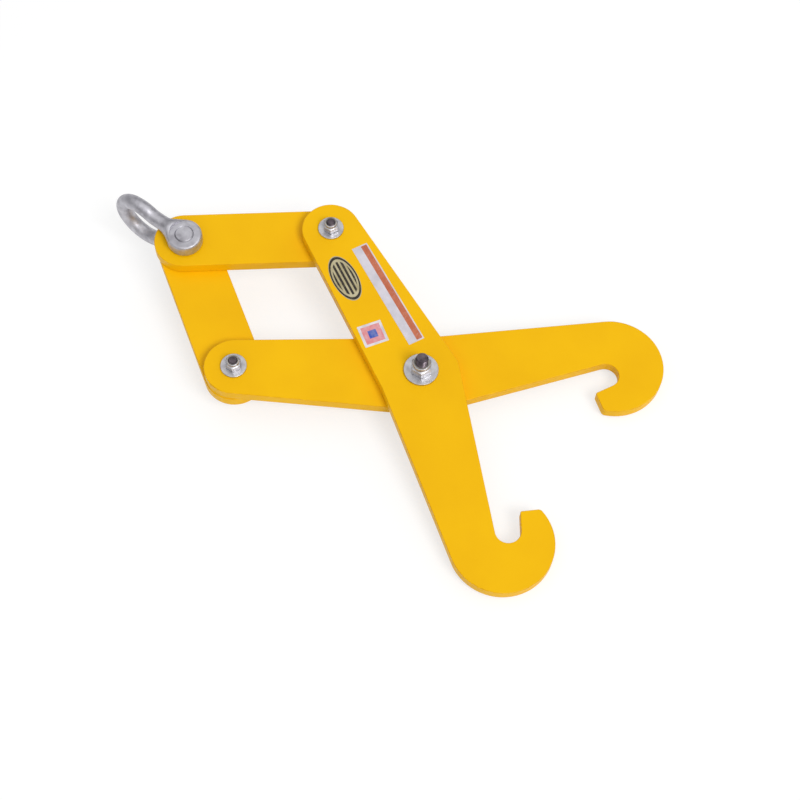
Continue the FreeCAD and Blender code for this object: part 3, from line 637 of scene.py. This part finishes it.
def combine(piece, other, operation):
    """Cuts another piece out of a piece, or unites the two, and removes the other."""
    knife = piece.modifiers.new("combine", "BOOLEAN")
    knife.operation = operation
    knife.solver = "EXACT"
    knife.object = other
    bake_modifiers(piece)
    bpy.data.objects.remove(other)


def forge(name, blanks, field, cell):
    """Fuses rough closed blanks into one skin of even faces, and settles it on the field's surface."""
    with bpy.context.temp_override(active_object=blanks[0], selected_editable_objects=blanks):
        bpy.ops.object.join()
    piece = blanks[0]
    piece.name = name
    fuse = piece.modifiers.new("fuse", "REMESH")
    fuse.mode = "VOXEL"
    fuse.voxel_size = cell
    even = piece.modifiers.new("even", "SMOOTH")
    even.factor = 0.5
    even.iterations = 4
    bake_modifiers(piece)
    settle(piece, field)
    return piece


def round_disc(out, thick, radius, half, edge):
    """Signed distance to a disc with rounded edges, from the distances to its axis and its middle plane."""
    past_rim = out - radius + edge
    past_face = thick - half + edge
    return (np.hypot(np.maximum(past_rim, 0), np.maximum(past_face, 0))
            + np.minimum(np.maximum(past_rim, past_face), 0) - edge)


def blend(first, second, size):
    """Union of two signed distances with a fillet."""
    near = np.maximum(size - np.abs(first - second), 0)
    return np.minimum(first, second) - near ** 2 / (4 * size)


# Threaded bolts
CHAMFER_SLOPE = math.tan(math.radians(30))
CHAMFER_ROWS = 6
# Where an extra row lies on the head's upper face, as a share of the distance to its flats
FACE_ROW = 0.96
# Crest and root of the thread, as shares of its pitch
THREAD_FLAT = 0.125
# Nearness of heights that count as one
SAME_HEIGHT = 0.01 * MM


def hexagon_reach(angles, corner):
    """Distance from the axis to a hexagon's sides, with a corner at angle 0."""
    sector = math.pi / 3
    return corner * math.cos(sector / 2) / np.cos((angles % sector) - sector / 2)


def bolt_rows(thread, pitch, bottom, head_top, top, corner, radius, end_radius):
    """Rows of a bolt from its head to its end. The thread's groove moves on round the rows as they rise."""
    angles = round_angles(thread.segments)
    hexagon = hexagon_reach(angles, corner)
    face = hexagon.min() - thread.head_chamfer
    rows = []
    for height in np.linspace(0, (corner - face) * CHAMFER_SLOPE, CHAMFER_ROWS):
        rows.append((bottom + height, np.minimum(hexagon, face + height / CHAMFER_SLOPE)))
    rows += [(head_top, hexagon), (head_top, hexagon.min() * FACE_ROW), (head_top, radius)]
    thread_start = top - thread.length
    rows.append((thread_start, radius))
    for height in np.arange(thread_start, top, pitch / thread.steps)[1:]:
        turn = (height / pitch - angles / (2 * math.pi)) % 1.0
        groove = np.clip((1 - np.abs(2 * turn - 1) - THREAD_FLAT) / (1 - 2 * THREAD_FLAT), 0, 1)
        run_in = min(1.0, (height - thread_start) / pitch)
        reach = radius - thread.depth * pitch * groove * run_in
        rows.append((height, np.minimum(reach, end_radius + top - height)))
    rows.append((top, end_radius))
    return rows


def make_bolt(node, joint, thread, pitch):
    """A bolt with the sizes of its node's solid, and a thread."""
    axis = JOINTS[joint]
    points = mesh_points(frame["nodes"][node])
    spread = np.hypot(points[:, 0] - axis.x, points[:, 1] - axis.y)
    heights = points[:, 2]
    bottom, top = heights.min(), heights.max()
    radius = spread[heights > (bottom + top) / 2].max()
    corner = spread.max()
    far = points[spread.argmax()]
    head_top = heights[spread > (radius + corner) / 2].max()
    start_angle = math.atan2(far[1] - axis.y, far[0] - axis.x)
    end_radius = spread[heights > top - SAME_HEIGHT].max()
    rows = bolt_rows(thread, pitch, bottom, head_top, top, corner, radius, end_radius)
    bolt = lathe(node + "_threaded", axis, rows, thread.segments, start_angle)
    shade(bolt, sharp_degrees=32)
    return bolt


# Forged shackle
FACE_SKIM = 0.02 * MM
BLANK_SIDES = 48
PIN_SIDES = 96
EYE_HOLE_SIDES = 64


class BowShape:
    """Outline of the bow in its own frame: u across, v along the bow from the pin, w along the pin."""

    def __init__(self, shackle):
        self.sizes = shackle
        self.pin = JOINTS["shackle_swing"]
        mount = MOUNTS["hoist_bow"]
        self.along = Vector(mount["axis"])
        self.across = self.along.cross(UP)
        inside_length = (Vector(mount["pos_m"]) - self.pin).length
        self.ear = shackle.jaw / 2 + shackle.ear_thickness / 2
        self.leg = shackle.jaw / 2 + shackle.leg_clearance + shackle.stock / 2
        self.bow_radius = self.leg + shackle.flare
        self.middle = inside_length + shackle.stock / 2 - self.bow_radius
        reach = shackle.leg_flare_radius + self.bow_radius
        rise = math.sqrt(reach ** 2 - (shackle.leg_flare_radius + self.leg) ** 2)
        self.lean = math.asin(rise / reach)
        self.start = self.middle - rise

    def local(self, points):
        """Points as u, v and w, with w counted from the jaw's middle."""
        away = points - np.array(self.pin)
        return away @ np.array(self.across), away @ np.array(self.along), away[:, 2]

    def world(self, u, v, w):
        return self.pin + self.across * u + self.along * v + UP * w

    def line_distance(self, u, v, w):
        """Distance to the middle line of the bar, which is alike on both sides of the jaw."""
        side = np.abs(w)
        flare = self.sizes.leg_flare_radius
        leg = np.hypot(v - np.clip(v, self.sizes.neck_start, self.start), side - self.leg)
        bend_v, bend_w = v - self.start, self.leg + flare - side
        bend_turn = np.arctan2(bend_v, bend_w)
        bend = np.abs(np.hypot(bend_v, bend_w) - flare)
        bend = np.where((bend_turn >= 0) & (bend_turn <= self.lean), bend, np.inf)
        crown_turn = np.arctan2(side, v - self.middle)
        crown = np.abs(np.hypot(v - self.middle, side) - self.bow_radius)
        crown = np.where(crown_turn <= math.pi / 2 + self.lean, crown, np.inf)
        return np.hypot(np.minimum(np.minimum(leg, bend), crown), u)

    def field(self, points):
        """Signed distance to the forging: ears with rounded edges, and a bar that flows into them."""
        u, v, w = self.local(points)
        sizes = self.sizes
        bar = self.line_distance(u, v, w) - sizes.stock / 2
        ear = round_disc(np.hypot(u, v), np.abs(np.abs(w) - self.ear),
                         sizes.ear_diameter / 2, sizes.ear_thickness / 2, sizes.ear_edge)
        slot = np.where(v < self.start, sizes.jaw / 2 - np.abs(w), -np.inf)
        return np.maximum(blend(bar, ear, sizes.neck_blend), slot)

    def middle_line(self, steps):
        """Points along the bar's middle line from one ear to the other, as (v, w)."""
        flare = self.sizes.leg_flare_radius
        end = self.sizes.neck_start - self.sizes.stock / 2
        half = [(v, self.leg) for v in np.linspace(end, self.start, steps)]
        half += [(self.start + flare * math.sin(a), self.leg + flare * (1 - math.cos(a)))
                 for a in np.linspace(0, self.lean, steps)[1:]]
        half += [(self.middle + self.bow_radius * math.cos(a), self.bow_radius * math.sin(a))
                 for a in np.linspace(math.pi / 2 + self.lean, 0, 3 * steps)[1:]]
        return half + [(v, -w) for v, w in reversed(half[:-1])]


def bar_blank(shape, sides=24, steps=8):
    """Rough tube along the bow's middle line."""
    line = shape.middle_line(steps)
    radius = shape.sizes.stock / 2
    vertices = []
    for index, (v, w) in enumerate(line):
        before, after = line[max(index - 1, 0)], line[min(index + 1, len(line) - 1)]
        run = np.array(after) - np.array(before)
        run /= np.linalg.norm(run)
        for angle in round_angles(sides):
            side = radius * math.cos(angle)
            vertices.append(shape.world(radius * math.sin(angle), v - run[1] * side, w + run[0] * side))
    faces = ring_faces(len(line), sides)
    faces.append(tuple(range(sides)))
    faces.append(tuple(range(len(vertices) - sides, len(vertices))))
    return new_piece("bar_blank", vertices, faces)


def pin_hole_rows(shape):
    """Rows of the cutter for the pin's hole, with a countersink and a spot face on both sides."""
    sizes = shape.sizes
    # The spot faces lie just off the ears' flat faces
    face = sizes.jaw / 2 + sizes.ear_thickness + FACE_SKIM
    hole = sizes.pin_hole / 2
    wide = hole + sizes.countersink
    spot = sizes.collar_diameter / 2 + sizes.spot_room
    outward = [(face - sizes.countersink, hole), (face, wide), (face, spot), (face + sizes.stock, spot)]
    rows = [(-height, radius) for height, radius in reversed(outward)] + outward
    return [(shape.pin.z + height, radius) for height, radius in rows]


def make_bow(shackle):
    shape = BowShape(shackle)
    blanks = [bar_blank(shape)]
    for side in (1, -1):
        rows = disc_rows(shape.pin.z + side * shape.ear, shackle.ear_thickness / 2, shackle.ear_diameter / 2)
        blanks.append(lathe("ear_blank", shape.pin, rows, BLANK_SIDES))
    bow = forge("shackle_bow_forged", blanks, shape.field, shackle.cell)
    combine(bow, lathe("pin_hole", shape.pin, pin_hole_rows(shape), PIN_SIDES), "DIFFERENCE")
    shade(bow, sharp_degrees=38)
    return bow


def make_pin(shackle):
    """The pin, with a forged shoulder and eye and a plain shank."""
    pin = JOINTS["shackle_swing"]
    across = Vector(MOUNTS["pin_eye"]["axis"])
    low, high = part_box("shackle_pin")
    collar_radius, half_collar = shackle.collar_diameter / 2, shackle.collar_thickness / 2
    collar_middle = pin.z - shackle.jaw / 2 - shackle.ear_thickness - half_collar
    eye_radius, half_eye = shackle.eye_diameter / 2, shackle.eye_thickness / 2
    eye_middle = low.z + eye_radius

    def field(points):
        """Signed distance to the forging: a flat eye that flows into the shoulder."""
        away = points - np.array(pin)
        out = np.hypot(away[:, 0], away[:, 1])
        rise = points[:, 2] - collar_middle
        sideways = away @ np.array(across)
        lengthways = np.maximum(out ** 2 - sideways ** 2, 0)
        eye_out = np.sqrt(lengthways + (points[:, 2] - eye_middle) ** 2)
        eye = round_disc(eye_out, np.abs(sideways), eye_radius, half_eye, shackle.eye_edge)
        collar = round_disc(out, np.abs(rise), collar_radius, half_collar, shackle.eye_edge)
        return np.maximum(blend(eye, collar, shackle.eye_blend), rise - half_collar)

    lay = Matrix.Translation((pin.x, pin.y, eye_middle)) @ across.to_track_quat("Z", "X").to_matrix().to_4x4()
    eye_blank = lathe("eye_blank", Vector(), disc_rows(0, half_eye, eye_radius), BLANK_SIDES)
    eye_blank.data.transform(lay)
    collar_rows = disc_rows(collar_middle, half_collar, collar_radius)
    collar_blank = lathe("collar_blank", pin, collar_rows, BLANK_SIDES)
    piece = forge("shackle_pin_forged", [eye_blank, collar_blank], field, shackle.cell)

    hole_radius = shackle.eye_hole / 2
    wide = hole_radius + shackle.countersink
    hole_rows = [(-2 * half_eye, wide), (-half_eye, wide), (shackle.countersink - half_eye, hole_radius)]
    hole_rows += [(-height, radius) for height, radius in reversed(hole_rows)]
    hole = lathe("eye_hole", Vector(), hole_rows, EYE_HOLE_SIDES)
    hole.data.transform(lay)
    combine(piece, hole, "DIFFERENCE")

    radius, chamfer = shackle.pin / 2, shackle.pin_chamfer
    shank_rows = [(collar_middle, radius), (high.z - chamfer, radius), (high.z, radius - chamfer)]
    combine(piece, lathe("shank", pin, shank_rows, PIN_SIDES), "UNION")
    shade(piece, sharp_degrees=38)
    return piece


# Stage
FLOOR_WHITE = 1.05
WALL_SIDES = 64


def direction(azimuth, elevation):
    """The way from the tongs to a place round them."""
    out = Vector((math.sin(azimuth), -math.cos(azimuth), 0))
    return out * math.cos(elevation) + UP * math.sin(elevation)


def make_camera(stage):
    back = direction(stage.azimuth, stage.elevation)
    level = UP.cross(back).normalized()
    roll = Matrix.Rotation(stage.roll, 3, back)
    right, up = roll @ level, roll @ back.cross(level)
    pivot = JOINTS["jaw_pivot"].copy()
    pivot.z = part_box("front_arm")[1].z
    place = pivot + right * stage.aim_across + up * stage.aim_up + back * stage.distance
    data = bpy.data.cameras.new("camera")
    data.lens = stage.lens
    camera = link("camera", data)
    camera.matrix_world = Matrix.Translation(place) @ Matrix((right, up, back)).transposed().to_4x4()
    bpy.context.scene.camera = camera


def make_key(stage):
    data = bpy.data.lights.new("key", "SUN")
    data.energy = stage.key_strength
    data.angle = stage.key_spread
    towards = direction(stage.key_azimuth, stage.key_elevation)
    link("key", data).rotation_euler = towards.to_track_quat("Z", "Y").to_euler()


def seen_rays(nodes):
    """1 for rays from the camera and for reflected or refracted rays, and 0 for light on other surfaces."""
    rays = nodes.add("ShaderNodeLightPath").outputs
    seen = nodes.maths("MAXIMUM", rays["Is Camera Ray"], rays["Is Glossy Ray"])
    return nodes.maths("MAXIMUM", seen, rays["Is Transmission Ray"])


def make_world(stage):
    world = bpy.data.worlds.new("white_room")
    nodes = Nodes(empty_tree(world))
    strength = nodes.maths("MULTIPLY_ADD", seen_rays(nodes), 1 - stage.ambient, stage.ambient)
    background = nodes.add("ShaderNodeBackground", Color=(1, 1, 1), Strength=strength)
    nodes.add("ShaderNodeOutputWorld", Surface=background.outputs["Background"])
    bpy.context.scene.world = world


def resting_plane(rounds=8):
    """Middle and normal of the plane that the eye of the shackle pin and both hooks touch."""
    arms = [mesh_points(frame["nodes"][node]) for node in ("rear_arm", "front_arm")]
    # The hooks lie further out than twice the centre pivot's distance from the origin
    hooks = [points[points[:, 1] < 2 * JOINTS["jaw_pivot"].y] for points in arms]
    feet = [mesh_points(frame["nodes"]["shackle_pin"]), *hooks]
    # The search starts from a plane that is nearly level
    normal = np.array((0.0, 0.1, 1.0))
    for _ in range(rounds):
        eye, rear, front = [points[(points @ normal).argmin()] for points in feet]
        normal = np.cross(rear - eye, front - eye)
        normal *= np.sign(normal[2]) / np.linalg.norm(normal)
    return Vector((eye + rear + front) / 3), Vector(normal)


def glow(nodes, colour, strength=1.0):
    return nodes.add("ShaderNodeEmission", Color=colour, Strength=strength).outputs["Emission"]


def matt(nodes, share):
    """A matt grey that gives back this share of the light."""
    return nodes.add("ShaderNodeBsdfDiffuse", Color=(share,) * 3).outputs["BSDF"]


def floor_finish(stage):
    """A floor that looks white but for a faint shadow, fades to plain white and is clear from below."""
    material = bpy.data.materials.new("white_floor")
    nodes = Nodes(empty_tree(material))
    place = nodes.add("ShaderNodeTexCoord").outputs["Object"]
    distance = nodes.add("ShaderNodeVectorMath", {"operation": "LENGTH"}, Vector=place)
    fade = nodes.smooth_step(distance.outputs["Value"], stage.fade_start, stage.fade_end)
    # The lit grey and its glow add up to a little past white where no shadow falls
    lift = glow(nodes, (1, 1, 1), FLOOR_WHITE - stage.floor_shadow)
    lifted = nodes.ordered("ShaderNodeAddShader", None, matt(nodes, stage.floor_shadow), lift)
    shown = nodes.mix_shaders(fade, lifted, glow(nodes, (1, 1, 1)))
    floor = nodes.mix_shaders(seen_rays(nodes), matt(nodes, stage.floor_shade), shown)
    clear = nodes.add("ShaderNodeBsdfTransparent").outputs["BSDF"]
    below = nodes.add("ShaderNodeNewGeometry").outputs["Backfacing"]
    nodes.add("ShaderNodeOutputMaterial", Surface=nodes.mix_shaders(below, floor, clear))
    return material


def make_floor(stage):
    middle, normal = resting_plane()
    half = stage.floor_size / 2
    corners = [(-half, -half, 0), (half, -half, 0), (half, half, 0), (-half, half, 0)]
    floor = new_piece("floor", corners, [(0, 1, 2, 3)])
    floor.matrix_world = Matrix.Translation(middle) @ normal.to_track_quat("Z", "Y").to_matrix().to_4x4()
    paint(floor, floor_finish(stage))


def make_wall(stage):
    """Dark wall round the floor that only mirrored rays see, so that round metal shows its shape."""
    around = [(stage.wall_distance * math.cos(angle), stage.wall_distance * math.sin(angle))
              for angle in round_angles(WALL_SIDES)]
    vertices = [(x, y, height) for height in (stage.wall_low, stage.wall_high) for x, y in around]
    wall = new_piece("dark_wall", vertices, ring_faces(2, WALL_SIDES))
    material = bpy.data.materials.new("dark_wall")
    nodes = Nodes(empty_tree(material))
    nodes.add("ShaderNodeOutputMaterial", Surface=glow(nodes, stage.wall_colour))
    paint(wall, material)
    for rays in ("camera", "diffuse", "transmission", "volume_scatter", "shadow"):
        setattr(wall, "visible_" + rays, False)


def stand_in(piece, node, material):
    """Shows a made piece instead of its node's solid, on the same body."""
    paint(piece, material)
    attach(piece, BODY_OF[node])
    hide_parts(node)


# One operator for each group of like pieces
class TONGS_OT_coat_plates(bpy.types.Operator):
    """Give the two arms and the two links their yellow coat"""
    bl_idname = "tongs.coat_plates"
    bl_label = "Coat Plates"

    def execute(self, context):
        material = coat_finish(context.scene.tongs_coat)
        for name in PLATES:
            paint(frame["nodes"][name], material)
        return {"FINISHED"}


class TONGS_OT_forge_shackle(bpy.types.Operator):
    """Forge the shackle's bow and pin and give them their hot dip coat"""
    bl_idname = "tongs.forge_shackle"
    bl_label = "Forge Shackle"

    def execute(self, context):
        material = dip_finish(context.scene.tongs_metal)
        shackle = context.scene.tongs_shackle
        for node, make in (("shackle_bow", make_bow), ("shackle_pin", make_pin)):
            stand_in(make(shackle), node, material)
        return {"FINISHED"}


class TONGS_OT_thread_bolts(bpy.types.Operator):
    """Make the three bolts with their screw threads"""
    bl_idname = "tongs.thread_bolts"
    bl_label = "Thread Bolts"

    def execute(self, context):
        thread = context.scene.tongs_thread
        material = bolt_finish(context.scene.tongs_metal)
        for prefix, joint in PIVOTS.items():
            node = prefix + "_bolt"
            pitch = thread.centre_pitch if prefix == "centre" else thread.link_pitch
            stand_in(make_bolt(node, joint, thread, pitch), node, material)
        return {"FINISHED"}


class TONGS_OT_plate_fasteners(bpy.types.Operator):
    """Give the washers and lock nuts their zinc and the nuts' rings their nylon"""
    bl_idname = "tongs.plate_fasteners"
    bl_label = "Plate Fasteners"

    def execute(self, context):
        metal = context.scene.tongs_metal
        zinc = zinc_finish(metal)
        nylon = nylon_finish(metal)
        for prefix in PIVOTS:
            for piece in ("_rear_washer", "_front_washer", "_lock_nut"):
                paint(frame["nodes"][prefix + piece], zinc)
            paint(frame["nodes"][prefix + "_nut_insert"], nylon)
        return {"FINISHED"}


class TONGS_OT_dress_labels(bpy.types.Operator):
    """Give the three blank labels their films"""
    bl_idname = "tongs.dress_labels"
    bl_label = "Dress Labels"

    def execute(self, context):
        label = context.scene.tongs_label
        finishes = {"strip_label": strip_finish, "square_label": square_finish, "oval_label": oval_finish}
        for node, finish in finishes.items():
            paint(frame["nodes"][node], finish(label))
        return {"FINISHED"}


class TONGS_OT_set_stage(bpy.types.Operator):
    """Set the camera, the light, the floor and the dark wall"""
    bl_idname = "tongs.set_stage"
    bl_label = "Set Stage"

    def execute(self, context):
        stage = context.scene.tongs_stage
        make_world(stage)
        make_key(stage)
        make_floor(stage)
        make_wall(stage)
        make_camera(stage)
        context.scene.view_settings.view_transform = "Standard"
        return {"FINISHED"}


OPERATORS = (
    TONGS_OT_coat_plates,
    TONGS_OT_forge_shackle,
    TONGS_OT_thread_bolts,
    TONGS_OT_plate_fasteners,
    TONGS_OT_dress_labels,
    TONGS_OT_set_stage,
)


class TONGS_PT_pieces(bpy.types.Panel):
    """Lists the steps that dress the tongs, with their sizes and colours"""
    bl_label = "Lifting Tongs"
    bl_idname = "TONGS_PT_pieces"
    bl_space_type = "VIEW_3D"
    bl_region_type = "UI"
    bl_category = "Tongs"

    def draw(self, context):
        for operator in OPERATORS:
            self.layout.operator(operator.bl_idname)
        for name, group in SETTINGS.items():
            box = self.layout.box()
            box.label(text=group.__doc__)
            for key in group.__annotations__:
                box.prop(getattr(context.scene, name), key)


CLASSES = (*SETTINGS.values(), *OPERATORS, TONGS_PT_pieces)


def register():
    for made in CLASSES:
        bpy.utils.register_class(made)
    for name, group in SETTINGS.items():
        setattr(bpy.types.Scene, name, PointerProperty(type=group))


def unregister():
    for name in SETTINGS:
        delattr(bpy.types.Scene, name)
    for made in reversed(CLASSES):
        bpy.utils.unregister_class(made)


def main():
    register()
    bpy.ops.tongs.coat_plates()
    bpy.ops.tongs.forge_shackle()
    bpy.ops.tongs.thread_bolts()
    bpy.ops.tongs.plate_fasteners()
    bpy.ops.tongs.dress_labels()
    bpy.ops.tongs.set_stage()


if __name__ == "__main__":
    main()
